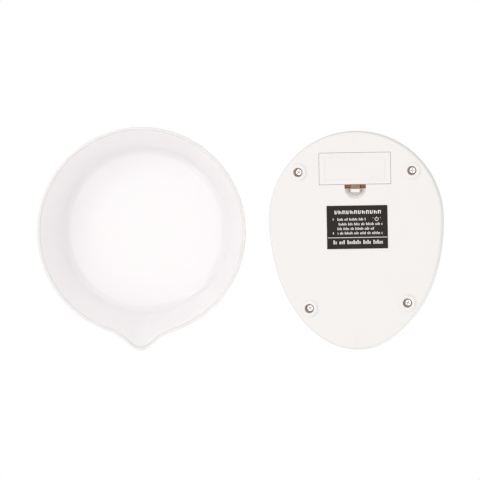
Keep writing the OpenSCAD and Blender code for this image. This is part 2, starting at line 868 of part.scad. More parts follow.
// How far the spout pushes the wall out, at an angle from the spout's middle and a height.
function spout(phi, z) = let (rise = max(0, 1 - 1.2 * z / bowl_h))
    spout_reach * exp(-pow(phi / spout_angle, 2)) * rise * rise;

// A round bend between two straight stretches, as [radius, height] points.
function bend(c, r, from, to) = [for (i = [0:bend_steps]) let (a = from + (to - from) * i / bend_steps)
    [c[0] + r * cos(a), c[1] + r * sin(a)]];

module bowl() {
    floor_z = bowl_h - ring_h;
    lean = atan2(bowl_r - rim_w - bowl_base_r - bowl_bend, floor_z - bowl_bend);
    c = [bowl_base_r, floor_z - bowl_bend];
    outer = concat(
        [[ring_r - ring_w / 2 - 0.4, floor_z], [ring_r - ring_w / 2, bowl_h], [ring_r + ring_w / 2, bowl_h],
            [ring_r + ring_w / 2 + 0.4, floor_z]],
        bend(c, bowl_bend, 90, lean),
        [[bowl_r - rim_w + bowl_t - 0.5, rim_w + 1.2], [bowl_r - 0.3, rim_w],
            [bowl_r, rim_w - 0.6], [bowl_r, 0.6], [bowl_r - 0.5, 0]]
    );
    inner = concat(
        [[bowl_r - rim_w + 0.6, 0], [bowl_r - rim_w + 0.1, 0.4], [bowl_r - rim_w - 0.3, rim_w]],
        bend(c, bowl_bend - bowl_t, lean, 90)
    );
    rings = concat(outer, inner);
    n = bowl_steps;
    m = len(rings);
    angles = [for (i = [0:n - 1]) let (t = 360 * i / n - 180) t - spout_crowd * sin(t) * 180 / PI];
    points = concat(
        [[0, 0, floor_z]],
        [for (p = rings) for (phi = angles) let (r = p[0] + spout(phi, p[1]))
            [r * cos(phi - 90), r * sin(phi - 90), p[1]]],
        [[0, 0, floor_z - bowl_t]]
    );
    function at(j, k) = 1 + j * n + k % n;
    far = 1 + m * n;
    faces = concat(
        [for (k = [0:n - 1]) [0, at(0, k + 1), at(0, k)]],
        [for (j = [0:m - 2]) for (k = [0:n - 1])
            for (f = [[at(j, k), at(j, k + 1), at(j + 1, k + 1)],
                [at(j, k), at(j + 1, k + 1), at(j + 1, k)]]) f],
        [for (k = [0:n - 1]) [far, at(m - 1, k), at(m - 1, k + 1)]]
    );
    color(clear_white) translate([bowl_x, centre_y, 0]) rotate(bowl_turn) polyhedron(points, faces);
}

bottom_cover();
top_cover();
housing_screws();
battery_cover();
battery_rear();
battery_front();
battery_link_contact();
battery_positive_contact();
battery_negative_contact();
load_cell();
strain_gauge_seals();
load_cell_spacer();
load_cell_screws();
platform_spacer();
platform_bracket();
platform_screws();
weighing_platform();
overload_pads();
circuit_board();
controller_chip();
board_capacitors();
board_screws();
power_switch();
unit_switch();
power_plunger();
unit_plunger();
power_button();
unit_button();
lcd_frame();
lcd_panel();
lcd_connector();
display_window();
control_panel();
battery_wire_red();
battery_wire_black();
load_cell_cable();
instruction_label();
bowl();
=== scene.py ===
# %% [markdown]
# # A kitchen scale and its pouring bowl
# The scale is an egg-shaped plastic housing on four foot rings, with a round weighing platform,
# a display and two buttons. Its bowl lies mouth down beside it. The design comes from the CAD
# model, which this file loads and never moves. What this file adds is the finish: smooth turned
# surfaces, softened moulded edges, print, and a material for every piece.
#
# Everything is in metres in the CAD model's own frame, and sizes here are written in millimetres
# times MM.

# %% Load the CAD model
import math

import bmesh
import bpy
import numpy as np
from mathutils import Matrix, Vector


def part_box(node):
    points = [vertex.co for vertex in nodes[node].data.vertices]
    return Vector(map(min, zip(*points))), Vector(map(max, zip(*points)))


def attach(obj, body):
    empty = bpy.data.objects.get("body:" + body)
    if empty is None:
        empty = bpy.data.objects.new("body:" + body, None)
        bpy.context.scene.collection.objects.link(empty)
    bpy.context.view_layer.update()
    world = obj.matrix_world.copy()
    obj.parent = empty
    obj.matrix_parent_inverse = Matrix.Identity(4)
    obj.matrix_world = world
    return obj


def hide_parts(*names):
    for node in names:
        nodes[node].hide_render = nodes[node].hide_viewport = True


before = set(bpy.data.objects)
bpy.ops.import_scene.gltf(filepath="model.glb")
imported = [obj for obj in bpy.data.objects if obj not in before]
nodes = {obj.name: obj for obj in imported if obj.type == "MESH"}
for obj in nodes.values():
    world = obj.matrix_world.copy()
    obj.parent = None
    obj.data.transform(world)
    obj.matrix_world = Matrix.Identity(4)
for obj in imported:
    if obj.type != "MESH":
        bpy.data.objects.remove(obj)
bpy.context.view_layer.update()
MM = 0.001

# %% [markdown]
# ## Places
# Places are read from the CAD nodes' boxes, so a piece made here lands where the design has it.
# The bowl's radius is written out, because its box covers the spout as well.

# %% Places and sizes from the design
low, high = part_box("bottom_cover")
SCALE_X = (low.x + high.x) / 2

low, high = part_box("weighing_platform")
PLATFORM = Vector(((low.x + high.x) / 2, (low.y + high.y) / 2, high.z))
PLATFORM_R = (high.x - low.x) / 2
PLATFORM_LOW = low.z

low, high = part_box("bowl")
BOWL_R = 110 * MM
BOWL_H = high.z
BOWL = Vector((high.x - BOWL_R, high.y - BOWL_R, 0))
print("scale middle x", round(SCALE_X, 4), "platform", tuple(round(v, 4) for v in PLATFORM))
print("bowl middle", tuple(round(v, 4) for v in BOWL), "height", round(BOWL_H, 4))

# %% [markdown]
# ## Camera
# The set is looked at from almost straight below through a long lens, so the underside of the
# scale and the inside of the bowl show with hardly any perspective. The camera stands off to one
# side by less than a tenth of its distance, and is rolled by a degree.

# %% Camera
CAMERA_DISTANCE = 10.0
PICTURE_WIDTH = 0.504
CAMERA_SIDE = Vector((-0.77, 0.3, 0))
CAMERA_ROLL = math.radians(1.05)
SENSOR_WIDTH = 36

aim = Vector((0, -0.0014, 0))
place = aim + CAMERA_SIDE - Vector((0, 0, CAMERA_DISTANCE))
back = (place - aim).normalized()
right = Vector((-math.sin(CAMERA_ROLL), math.cos(CAMERA_ROLL), 0)).cross(back).normalized()
up = back.cross(right)
camera_data = bpy.data.cameras.new("camera")
camera_data.sensor_width = SENSOR_WIDTH
camera_data.lens = SENSOR_WIDTH * (place - aim).length / PICTURE_WIDTH
camera_data.clip_start = 0.1
camera_data.clip_end = 40
camera = bpy.data.objects.new("camera", camera_data)
camera.matrix_world = Matrix((right, up, back)).transposed().to_4x4()
camera.matrix_world.translation = place
bpy.context.scene.collection.objects.link(camera)
bpy.context.scene.camera = camera
print("camera lens", round(camera_data.lens), "mm")

# %% [markdown]
# ## Light and floor
# White plastic on white needs soft, even light with just enough direction to model it. The world
# gives the even part: its light is level from below and from the sides, and falls to under half
# of that straight above. The camera itself sees the world as plain white. Large area lights above
# and below give the direction. The floor is
# pale and is drawn only from above: its underside lets the camera see through, and it doesn't
# stop or throw back any light, so the underside of the scale is lit as if it stood on glass.

# %% World
LAMP_WHITE = (1.0, 0.99, 0.98)
LIGHT_BELOW = 0.865
LIGHT_ABOVE = 0.36

scene = bpy.context.scene
scene.view_settings.view_transform = "Standard"
world = bpy.data.worlds.new("white_studio")
scene.world = world
world.use_nodes = True
sky = world.node_tree
sky.nodes.clear()


def add(tree, kind, links=None, **settings):
    """Adds one node: settings are its properties, links its inputs' sockets or plain values."""
    made = tree.nodes.new(kind)
    for name, value in settings.items():
        setattr(made, name, value)
    for name, value in (links or {}).items():
        if isinstance(value, bpy.types.NodeSocket):
            tree.links.new(value, made.inputs[name])
        else:
            made.inputs[name].default_value = value
    return made


seen = add(sky, "ShaderNodeBackground", {"Color": (1, 1, 1, 1), "Strength": 1.0})
direction = add(sky, "ShaderNodeSeparateXYZ", {0: add(sky, "ShaderNodeTexCoord").outputs["Generated"]})
level = add(sky, "ShaderNodeMapRange", {
    "Value": direction.outputs["Z"], "From Min": 0.4, "From Max": 1.0,
    "To Min": LIGHT_BELOW, "To Max": LIGHT_ABOVE,
})
given = add(sky, "ShaderNodeBackground", {"Color": (*LAMP_WHITE, 1), "Strength": level.outputs[0]})
path = add(sky, "ShaderNodeLightPath")
both = add(sky, "ShaderNodeMixShader", {
    0: path.outputs["Is Camera Ray"], 1: given.outputs[0], 2: seen.outputs[0],
})
add(sky, "ShaderNodeOutputWorld", {"Surface": both.outputs[0]})

# %% Area lights
def soft_light(name, position, size, watts, colour=(1, 1, 1)):
    """A square area light that looks at the middle of the set and that no camera sees."""
    data = bpy.data.lights.new(name, "AREA")
    data.size = size
    data.energy = watts
    data.color = colour
    lamp = bpy.data.objects.new(name, data)
    lamp.location = position
    lamp.rotation_euler = (-Vector(position)).to_track_quat("-Z", "Y").to_euler()
    lamp.visible_camera = False
    scene.collection.objects.link(lamp)


soft_light("front_below", (0.15, -0.3, -2.8), 1.6, 7, LAMP_WHITE)
soft_light("key_below", (1.6, -1.3, -1.9), 0.6, 3, LAMP_WHITE)
soft_light("glint_below", (1.3, 1.08, -1.8), 0.7, 5, LAMP_WHITE)
soft_light("key_above", (-1.3, -1.6, 2.0), 1.0, 22, LAMP_WHITE)
soft_light("fill_above", (1.6, 0.8, 1.6), 1.6, 5)

# %% Floor
FLOOR_HALF = 12.0
floor_mesh = bpy.data.meshes.new("floor")
corners = np.array([(-1, -1, 0), (1, -1, 0), (1, 1, 0), (-1, 1, 0)]) * FLOOR_HALF
floor_mesh.from_pydata(corners.tolist(), [], [(0, 1, 2, 3)])
floor = bpy.data.objects.new("floor", floor_mesh)
scene.collection.objects.link(floor)
floor_paint = bpy.data.materials.new("matt_white_paper")
floor_paint.use_nodes = True
tree = floor_paint.node_tree
tree.nodes.clear()
paper = add(tree, "ShaderNodeBsdfDiffuse", {"Color": (0.90, 0.90, 0.895, 1)})
clear = add(tree, "ShaderNodeBsdfTransparent")
side = add(tree, "ShaderNodeNewGeometry")
sheet = add(tree, "ShaderNodeMixShader", {
    0: side.outputs["Backfacing"], 1: paper.outputs[0], 2: clear.outputs[0],
})
add(tree, "ShaderNodeOutputMaterial", {"Surface": sheet.outputs[0]})
floor_mesh.materials.append(floor_paint)
floor.visible_diffuse = False
floor.visible_glossy = False
floor.visible_transmission = False
floor.visible_shadow = False

# %% [markdown]
# ## Materials
# Each finish starts from what the real part is made of. Most of the set is injection-moulded
# plastic. A mould leaves three things that the eye reads as plastic and not as paint: a colour
# that drifts by a hair across the part, a fine grain where the mould was spark-eroded, and a
# gloss that comes and goes with that grain. One recipe gives all three, and each plastic has its
# own numbers. Patterns read Object coordinates, which are metres here because every object sits
# at the origin.

# %% Colour and the recipe for moulded plastic
def tint(code):
    """An sRGB hex colour as linear red, green, blue and 1."""
    parts = [int(code[i:i + 2], 16) / 255 for i in (0, 2, 4)]
    return tuple(v / 12.92 if v < 0.04045 else ((v + 0.055) / 1.055) ** 2.4 for v in parts) + (1,)


def new_material(name):
    """An empty node material with its output wired to one Principled shader."""
    made = bpy.data.materials.new(name)
    made.use_nodes = True
    tree = made.node_tree
    tree.nodes.clear()
    shader = add(tree, "ShaderNodeBsdfPrincipled")
    add(tree, "ShaderNodeOutputMaterial", {"Surface": shader.outputs[0]})
    return made, tree, shader


def drift(tree, position, size, light, dark, detail=3):
    """A colour that wanders between two hex shades over patches of a given size in metres."""
    noise = add(tree, "ShaderNodeTexNoise", {"Vector": position, "Scale": 1 / size, "Detail": detail})
    mixed = add(tree, "ShaderNodeMix", {
        0: noise.outputs["Fac"], 6: tint(light), 7: tint(dark),
    }, data_type="RGBA")
    return mixed.outputs[2]


DRIFT_SIZE = 45 * MM


def moulded(name, light, dark, gloss, grain, depth, **fixed):
    """Moulded plastic: a colour that drifts, gloss of a low and a high roughness, and a grain of
    that size and depth in metres as bump. Fixed are sockets of the shader with one value."""
    made, tree, shader = new_material(name)
    position = add(tree, "ShaderNodeTexCoord").outputs["Object"]
    colour = drift(tree, position, DRIFT_SIZE, light, dark)
    speckle = add(tree, "ShaderNodeTexNoise", {"Vector": position, "Scale": 1 / grain, "Detail": 4})
    rough = add(tree, "ShaderNodeMapRange", {
        "Value": speckle.outputs["Fac"], "To Min": gloss[0], "To Max": gloss[1],
    })
    bump = add(tree, "ShaderNodeBump", {"Height": speckle.outputs["Fac"], "Distance": depth, "Strength": 1.0})
    tree.links.new(colour, shader.inputs["Base Color"])
    tree.links.new(rough.outputs[0], shader.inputs["Roughness"])
    tree.links.new(bump.outputs[0], shader.inputs["Normal"])
    for socket, value in fixed.items():
        shader.inputs[socket.replace("_", " ")].default_value = value
    return made


# %% [markdown]
# The housing is white ABS with a spark-eroded grain of about 0.15 mm, which is drawn at 0.9 mm
# so that it shows at all. The platform, its bracket and the display's frame are the same plastic
# with a polished face. The bowl is natural polypropylene: whiter, waxy and a little translucent,
# so light scatters inside its wall. Its thick rim is painted greyer as shade, and scatters less.
# The trim is ABS with a silver-grey paint, which is part metallic for the flakes in it. Three
# tan and brown ABS tints are painted shade for deep places, as told under Deep faces.

# %% Plastics
DEEP_GRAIN = (0.6 * MM, 0.03 * MM)
PAINT_GRAIN = (0.5 * MM, 0.006 * MM)
ABS_IOR = 1.53

abs_grained = moulded(
    "ABS_spark_eroded_white", "f4f2f1", "f0eeec", (0.42, 0.58), 0.9 * MM, 0.012 * MM, IOR=ABS_IOR,
)
# The next three tints are painted shade: warmer, darker copies of the ABS for faces deep in the housing.
abs_pale_painted_shade = moulded("ABS_pale_painted_shade", "f6ece4", "eee2d8", (0.5, 0.7), *DEEP_GRAIN, IOR=ABS_IOR)
abs_tan_painted_shade = moulded("ABS_tan_painted_shade", "e9c4a2", "dfb58f", (0.5, 0.7), *DEEP_GRAIN, IOR=ABS_IOR)
abs_brown_painted_shade = moulded("ABS_brown_painted_shade", "c0a58c", "b59a80", (0.5, 0.7), *DEEP_GRAIN, IOR=ABS_IOR)
abs_polished = moulded(
    "ABS_polished_white", "f4f1ee", "f1edea", (0.16, 0.26), 3.0 * MM, 0.004 * MM, IOR=ABS_IOR,
)
polypropylene = moulded(
    "polypropylene_natural_white", "f6f3f5", "f4f1f3", (0.09, 0.16), 6.0 * MM, 0.01 * MM, IOR=1.49,
    Subsurface_Weight=0.8, Subsurface_Scale=4 * MM, Subsurface_Radius=(1.0, 0.97, 0.95),
)
# The rim's greyer colour is painted shade, and its weaker scatter is for the thick section.
pp_rim_painted_shade = moulded(
    "polypropylene_rim_painted_shade", "ecebe9", "e8e7e5", (0.14, 0.24), 6.0 * MM, 0.01 * MM, IOR=1.49,
    Subsurface_Weight=0.35, Subsurface_Scale=3 * MM, Subsurface_Radius=(1.0, 0.97, 0.94),
)
silver_paint = moulded(
    "ABS_silver_grey_paint", "a9adb1", "a1a5aa", (0.28, 0.42), *PAINT_GRAIN, Metallic=0.35,
)
key_paint = moulded("ABS_key_grey_paint", "7c8186", "757a7f", (0.30, 0.42), *PAINT_GRAIN, Metallic=0.25)
cell_wrap = moulded("PVC_shrink_wrap_graphite", "3a3f45", "34383e", (0.22, 0.32), 2.0 * MM, 0.01 * MM)
cell_band = moulded(
    "PVC_shrink_wrap_copper", "b9794a", "b07143", (0.22, 0.32), 2.0 * MM, 0.01 * MM, Metallic=0.6,
)
red_pvc = moulded("PVC_wire_red", "b3221d", "a61e1a", (0.35, 0.45), 1.0 * MM, 0.01 * MM)
black_pvc = moulded("PVC_wire_black", "1d1d1f", "19191b", (0.35, 0.45), 1.0 * MM, 0.01 * MM)
grey_pvc = moulded("PVC_cable_grey", "8b8d90", "838588", (0.38, 0.48), 1.0 * MM, 0.01 * MM)
rubber = moulded("nitrile_rubber_black", "1b1b1b", "161616", (0.6, 0.75), 0.6 * MM, 0.02 * MM)
silicone = moulded("silicone_sealant_ivory", "e7e2d2", "dcd6c4", (0.3, 0.45), 1.5 * MM, 0.08 * MM)
epoxy = moulded("epoxy_drop_black", "121214", "0e0e10", (0.12, 0.25), 2.5 * MM, 0.03 * MM)
capacitor_sleeve = moulded("PET_sleeve_navy", "1c2440", "182038", (0.25, 0.35), 1.5 * MM, 0.01 * MM)
print("plastics made:", len(bpy.data.materials))

# %% [markdown]
# ## Metals
# Zinc plating on steel is bright and slightly cloudy, because the crystals scatter light
# unevenly. Nickel on spring plate is warmer and smoother. The load cell is milled aluminium,
# whose cutter leaves fine lines: a noise pattern stretched along X stands for them.

# %% Metals
def plated(name, light, dark, gloss, cloud):
    """Plated metal: colour and roughness both follow clouds of the given size in metres."""
    made, tree, shader = new_material(name)
    position = add(tree, "ShaderNodeTexCoord").outputs["Object"]
    clouds = add(tree, "ShaderNodeTexNoise", {"Vector": position, "Scale": 1 / cloud, "Detail": 6})
    colour = add(tree, "ShaderNodeMix", {
        0: clouds.outputs["Fac"], 6: tint(light), 7: tint(dark),
    }, data_type="RGBA")
    rough = add(tree, "ShaderNodeMapRange", {
        "Value": clouds.outputs["Fac"], "To Min": gloss[0], "To Max": gloss[1],
    })
    bump = add(tree, "ShaderNodeBump", {"Height": clouds.outputs["Fac"], "Distance": 0.01 * MM})
    tree.links.new(colour.outputs[2], shader.inputs["Base Color"])
    tree.links.new(rough.outputs[0], shader.inputs["Roughness"])
    tree.links.new(bump.outputs[0], shader.inputs["Normal"])
    shader.inputs["Metallic"].default_value = 1.0
    return made


zinc = plated("zinc_plated_steel", "f2f3f3", "dfe1e2", (0.25, 0.4), 0.8 * MM)
bright_zinc = plated("zinc_tumbled_bright", "ffffff", "f6f6f6", (0.12, 0.22), 0.8 * MM)
# A darker copy of the head's zinc is painted shade for the faces inside the pressed cross.
zinc_cross_shade = plated("zinc_painted_cross_shade", "d3d7d9", "c4c8ca", (0.3, 0.4), 0.8 * MM)
nickel = plated("nickel_plated_spring_steel", "d9d4cb", "c7c1b6", (0.16, 0.3), 1.2 * MM)
switch_tin = plated("tinned_steel_can", "cfd2d4", "bdc0c3", (0.25, 0.4), 1.0 * MM)

aluminium, tree, shader = new_material("aluminium_milled")
position = add(tree, "ShaderNodeTexCoord").outputs["Object"]
stretched = add(tree, "ShaderNodeMapping", {
    "Vector": position, "Scale": (1 / (40 * MM), 1 / (0.3 * MM), 1 / (0.3 * MM)),
})
lines = add(tree, "ShaderNodeTexNoise", {"Vector": stretched.outputs[0], "Scale": 1.0, "Detail": 2})
colour = add(tree, "ShaderNodeMix", {
    0: lines.outputs["Fac"], 6: tint("d6d8da"), 7: tint("bfc2c5"),
}, data_type="RGBA")
rough = add(tree, "ShaderNodeMapRange", {"Value": lines.outputs["Fac"], "To Min": 0.25, "To Max": 0.45})
bump = add(tree, "ShaderNodeBump", {"Height": lines.outputs["Fac"], "Distance": 0.02 * MM})
tree.links.new(colour.outputs[2], shader.inputs["Base Color"])
tree.links.new(rough.outputs[0], shader.inputs["Roughness"])
tree.links.new(bump.outputs[0], shader.inputs["Normal"])
shader.inputs["Metallic"].default_value = 1.0
print("metals made:", zinc.name, nickel.name, switch_tin.name, aluminium.name)

# %% [markdown]
# ## Board, display and print
# The circuit board is glass epoxy under a green solder mask, and the copper under the mask shows
# as paler tracks: the edges between cells of a Voronoi pattern, 2.5 mm across, stand for them.
# The display is a reflective LCD, grey-green with the faint brushed look of its polariser. Its
# window is clear acrylic: plain transparency with a share of gloss that grows with a slanting
# view. The label is printed vinyl, nearly black with a brown cast, and its
# print is white ink with slightly uneven cover.

# %% Board
solder_mask, tree, shader = new_material("solder_mask_green")
position = add(tree, "ShaderNodeTexCoord").outputs["Object"]
tracks = add(
    tree, "ShaderNodeTexVoronoi", {"Vector": position, "Scale": 1 / (2.5 * MM), "Randomness": 0.6},
    feature="DISTANCE_TO_EDGE", distance="EUCLIDEAN",
)
off_track = add(tree, "ShaderNodeMapRange", {
    "Value": tracks.outputs["Distance"], "From Min": 0.08, "From Max": 0.12,
})
colour = add(tree, "ShaderNodeMix", {
    0: off_track.outputs[0], 6: tint("2f7d48"), 7: tint("14552b"),
}, data_type="RGBA")
bump = add(tree, "ShaderNodeBump", {"Height": off_track.outputs[0], "Distance": 0.03 * MM}, invert=True)
tree.links.new(colour.outputs[2], shader.inputs["Base Color"])
tree.links.new(bump.outputs[0], shader.inputs["Normal"])
shader.inputs["Roughness"].default_value = 0.3

# %% Display glass and window
lcd_glass, tree, shader = new_material("LCD_reflective_polariser")
position = add(tree, "ShaderNodeTexCoord").outputs["Object"]
combed = add(tree, "ShaderNodeMapping", {"Vector": position, "Scale": (1 / (0.4 * MM), 1 / (12 * MM), 1.0)})
streaks = add(tree, "ShaderNodeTexNoise", {"Vector": combed.outputs[0], "Scale": 1.0, "Detail": 2})
colour = add(tree, "ShaderNodeMix", {
    0: streaks.outputs["Fac"], 6: tint("b4bfad"), 7: tint("a9b5a2"),
}, data_type="RGBA")
tree.links.new(colour.outputs[2], shader.inputs["Base Color"])
shader.inputs["Roughness"].default_value = 0.2

acrylic = bpy.data.materials.new("acrylic_clear_sheet")
acrylic.use_nodes = True
tree = acrylic.node_tree
tree.nodes.clear()
position = add(tree, "ShaderNodeTexCoord").outputs["Object"]
haze = add(tree, "ShaderNodeTexNoise", {"Vector": position, "Scale": 1 / (4 * MM), "Detail": 2})
rough = add(tree, "ShaderNodeMapRange", {"Value": haze.outputs["Fac"], "To Min": 0.02, "To Max": 0.08})
through = add(tree, "ShaderNodeBsdfTransparent", {"Color": (0.96, 0.97, 0.96, 1)})
sheen = add(tree, "ShaderNodeBsdfGlossy", {"Roughness": rough.outputs[0]})
share = add(tree, "ShaderNodeFresnel", {"IOR": 1.3})
glass = add(tree, "ShaderNodeMixShader", {0: share.outputs[0], 1: through.outputs[0], 2: sheen.outputs[0]})
add(tree, "ShaderNodeOutputMaterial", {"Surface": glass.outputs[0]})

# %% Printed vinyl and ink
vinyl = moulded(
    "vinyl_printed_brown_black", "231a17", "1e1613", (0.45, 0.6), 0.8 * MM, 0.01 * MM, Specular_IOR_Level=0.3,
)
white_ink = moulded("screen_ink_white", "f6f4f1", "efece8", (0.4, 0.55), 0.5 * MM, 0.01 * MM)
black_segment = moulded("liquid_crystal_dark", "1f2321", "1a1e1c", (0.2, 0.3), 0.5 * MM, 0.0, IOR=1.4)
ghost_segment = moulded("liquid_crystal_unlit", "a6b29f", "a0ac99", (0.2, 0.3), 0.5 * MM, 0.0, IOR=1.4)


# %% Rubber connector
zebra, tree, shader = new_material("silicone_zebra_strip")
position = add(tree, "ShaderNodeTexCoord").outputs["Object"]
layers = add(tree, "ShaderNodeTexWave", {"Vector": position, "Scale": 1 / (3.2 * MM)}, bands_direction="X")
colour = add(tree, "ShaderNodeMix", {
    0: layers.outputs["Fac"], 6: tint("e58aa0"), 7: tint("2a2425"),
}, data_type="RGBA")
tree.links.new(colour.outputs[2], shader.inputs["Base Color"])
shader.inputs["Roughness"].default_value = 0.5
print("materials made:", len(bpy.data.materials))

# %% [markdown]
# ## Turned shapes
# The bowl, platform, button caps, cells and screws are all round, so each is a profile turned
# about an axis. A profile is a list of corners, each with the radius of the round that softens
# it, because a mould has no sharp corner. The turn is worked out as one array: every profile
# point at every angle.

# %% Profile with rounded corners
def rounded(corners, steps=6):
    """A profile whose corners (x, y, radius) are replaced by arcs: an arc of radius q at a corner with
    turning angle t starts and ends q * tan(t / 2) from it, shortened where the sides are short."""
    corner = np.array(corners, float)
    out = [corner[0, :2]]
    for before, here, after in zip(corner[:-2], corner[1:-1], corner[2:]):
        a = before[:2] - here[:2]
        b = after[:2] - here[:2]
        la, lb = np.linalg.norm(a), np.linalg.norm(b)
        cosine = np.clip(a @ b / (la * lb), -1, 1)
        turn = math.pi - math.acos(cosine)
        reach = min(here[2] * math.tan(turn / 2), 0.48 * la, 0.48 * lb)
        if reach < 1e-6:
            out.append(here[:2])
            continue
        start = here[:2] + a / la * reach
        end = here[:2] + b / lb * reach
        s = np.linspace(0, 1, steps + 1)[:, None]
        w = 1 / math.cos(turn / 2)
        weight = (1 - s) ** 2 * w + 2 * s * (1 - s) + s ** 2 * w
        arc = ((1 - s) ** 2 * w * start + 2 * s * (1 - s) * here[:2] + s ** 2 * w * end) / weight
        out.extend(arc)
    out.append(corner[-1, :2])
    return np.array(out)


# %% Mesh from rings
def mesh_object(name, points, faces, materials, face_material=None, sharp=35):
    """A mesh object at the origin with smooth faces and edges sharp above an angle in degrees."""
    mesh = bpy.data.meshes.new(name)
    mesh.from_pydata(points.tolist(), [], faces)
    for m in materials:
        mesh.materials.append(m)
    if face_material is not None:
        mesh.polygons.foreach_set("material_index", face_material)
    mesh.shade_smooth()
    mesh.set_sharp_from_angle(angle=math.radians(sharp))
    mesh.validate()
    made = bpy.data.objects.new(name, mesh)
    scene.collection.objects.link(made)
    return made


def ring_faces(rings, steps, first):
    """Quads between neighbouring rings of a grid, as an array of vertex numbers."""
    j, k = np.meshgrid(np.arange(rings - 1), np.arange(steps), indexing="ij")
    here = first + j * steps + k
    beside = first + j * steps + (k + 1) % steps
    return np.stack([here, beside, beside + steps, here + steps], -1).reshape(-1, 4)


def turned(profile, steps, push=None):
    """Points and faces of a profile (r, z) turned about Z, closed by a pole at each end:
    x = (r + push) * cos(t), y = (r + push) * sin(t), z = z, with t evenly spaced over a turn.
    Push is a pair of functions: the first moves the angles, the second gives what r gains."""
    angle = np.arange(steps) * 2 * np.pi / steps
    inner = profile[1:-1]
    r = np.repeat(inner[:, :1], steps, axis=1)
    z = np.repeat(inner[:, 1:], steps, axis=1)
    t = np.broadcast_to(angle, r.shape)
    if push is not None:
        t = push[0](t)
        r = r + push[1](t, z)
    grid = np.stack([r * np.cos(t), r * np.sin(t), z], -1).reshape(-1, 3)
    poles = np.array([(0, 0, profile[0, 1]), (0, 0, profile[-1, 1])])
    points = np.concatenate([poles[:1], grid, poles[1:]])
    quads = ring_faces(len(inner), steps, 1)
    k = np.arange(steps)
    last = 1 + (len(inner) - 1) * steps
    start = np.stack([np.zeros_like(k), 1 + (k + 1) % steps, 1 + k], -1)
    end = np.stack([np.full_like(k, len(points) - 1), last + k, last + (k + 1) % steps], -1)
    return points, start.tolist() + quads.tolist() + end.tolist()


# %% [markdown]
# ## Bowl
# The bowl is one thin moulding: a flat floor, a bend, a wall that leans out to a thickened rim,
# and a pouring spout. Its profile is turned, and the spout is a push outwards that fades as a
# bell curve with the angle and as a square with the height, so the wall flows into it as a
# stretched sheet would. The angles crowd towards the spout, where the shape changes fastest.

# %% Bowl
SPOUT_REACH = 15.5 * MM
SPOUT_ANGLE = math.radians(8.7)
BOWL_TURN = math.radians(1.4)
SPOUT_CROWD = 0.65
RIM_BAND = 3.0 * MM


def crowd(t):
    """Angles from the spout's middle, drawn together there: p - c * sin(p) for p from -pi to pi."""
    p = t - np.pi
    return p - SPOUT_CROWD * np.sin(p)


def spout_push(phi, z):
    """Spout reach * exp(-(phi / angle)^2) * max(0, 1 - 1.2 z / height)^2."""
    rise = np.clip(1 - 1.2 * z / BOWL_H, 0, None)
    return SPOUT_REACH * np.exp(-(phi / SPOUT_ANGLE) ** 2) * rise ** 2


bowl_profile = rounded([
    (0, 59.8, 0), (64.1, 59.8, 0.5), (64.5, 60.99, 0.4), (67.5, 60.99, 0.4), (67.9, 59.8, 0.5),
    (87.3, 59.8, 12), (108.4, 4.2, 1.0), (109.98, 2.9, 0.6), (109.98, 0, 0.7), (107.3, 0, 0.7),
    (106.7, 3, 2.0), (86.0, 57.9, 10.1), (2.2, 57.9, 0.3), (2.0, 58.05, 0.2), (0, 58.05, 0),
], steps=10) * MM
points, faces = turned(bowl_profile, 360, push=(crowd, spout_push))
spin = BOWL_TURN - np.pi / 2
turn = np.array([[math.cos(spin), -math.sin(spin), 0], [math.sin(spin), math.cos(spin), 0], [0, 0, 1]])
points = points @ turn.T + np.array(BOWL)
heights = points[:, 2]
# Faces within the rim band take the greyer polypropylene, as painted shade.
rim_shade_faces = np.array([heights[f].mean() < RIM_BAND for f in faces]).astype(np.int32)
bowl = mesh_object("pouring_bowl", points, faces, [polypropylene, pp_rim_painted_shade], rim_shade_faces)
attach(bowl, "loose_bowl")
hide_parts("bowl")
print("bowl:", len(bowl.data.polygons), "faces")

# %% [markdown]
# ## Weighing platform
# The platform is a turned plate with a rounded edge, a thin skirt and the shallow groove that
# the bowl's foot ring drops into.

# %% Platform
top = PLATFORM.z / MM
skirt = PLATFORM_LOW / MM
outer_r = PLATFORM_R / MM
wall = 2.2
groove = 0.8
platform_profile = rounded([
    (0, top, 0), (63.5, top, 0.35), (63.6, top - groove, 0.3), (68.4, top - groove, 0.3),
    (68.5, top, 0.35), (outer_r, top, 4), (outer_r, skirt, 0.4), (outer_r - wall, skirt, 0.4),
    (outer_r - wall, top - wall, 1.8), (0, top - wall, 0),
], steps=10) * MM
points, faces = turned(platform_profile, 256)
points += np.array((PLATFORM.x, PLATFORM.y, 0))
platform = mesh_object("platform_plate", points, faces, [abs_polished])
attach(platform, "platform")
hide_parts("weighing_platform")

# %% [markdown]
# ## Housing shells and cover
# The shells' shapes are right in the CAD model, but its edges are razor sharp, and a moulded edge
# always has a small round that catches the light. So each shell is a copy of its CAD mesh with
# its loose triangles joined and a narrow bevel. Most also have their flat faces cleared of inner
# edges. The CAD node is then hidden. The CAD node then only serves for contact.

# %% How a CAD part is softened
def softened(node, name, material, body, width, angle=40, clear=True):
    """A joined copy of a CAD node whose edges sharper than an angle are rounded by a width. Clear
    joins flat neighbours, which a flat face with a hole in it doesn't survive."""
    made = bpy.data.objects.new(name, nodes[node].data.copy())
    scene.collection.objects.link(made)
    soft = bmesh.new()
    soft.from_mesh(made.data)
    bmesh.ops.remove_doubles(soft, verts=soft.verts, dist=0.002 * MM)
    if clear:
        bmesh.ops.dissolve_limit(soft, angle_limit=math.radians(0.6), verts=soft.verts, edges=soft.edges)
    soft.to_mesh(made.data)
    soft.free()
    made.data.materials.clear()
    made.data.materials.append(material)
    made.data.shade_smooth()
    made.data.set_sharp_from_angle(angle=math.radians(angle))
    bevel = made.modifiers.new("moulded_edge", "BEVEL")
    bevel.limit_method = "ANGLE"
    bevel.angle_limit = math.radians(angle)
    bevel.width = width
    bevel.segments = 2
    level = made.modifiers.new("flat_faces", "WEIGHTED_NORMAL")
    level.keep_sharp = True
    level.weight = 100
    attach(made, body)
    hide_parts(node)
    print(name, "faces:", len(made.data.polygons))
    return made


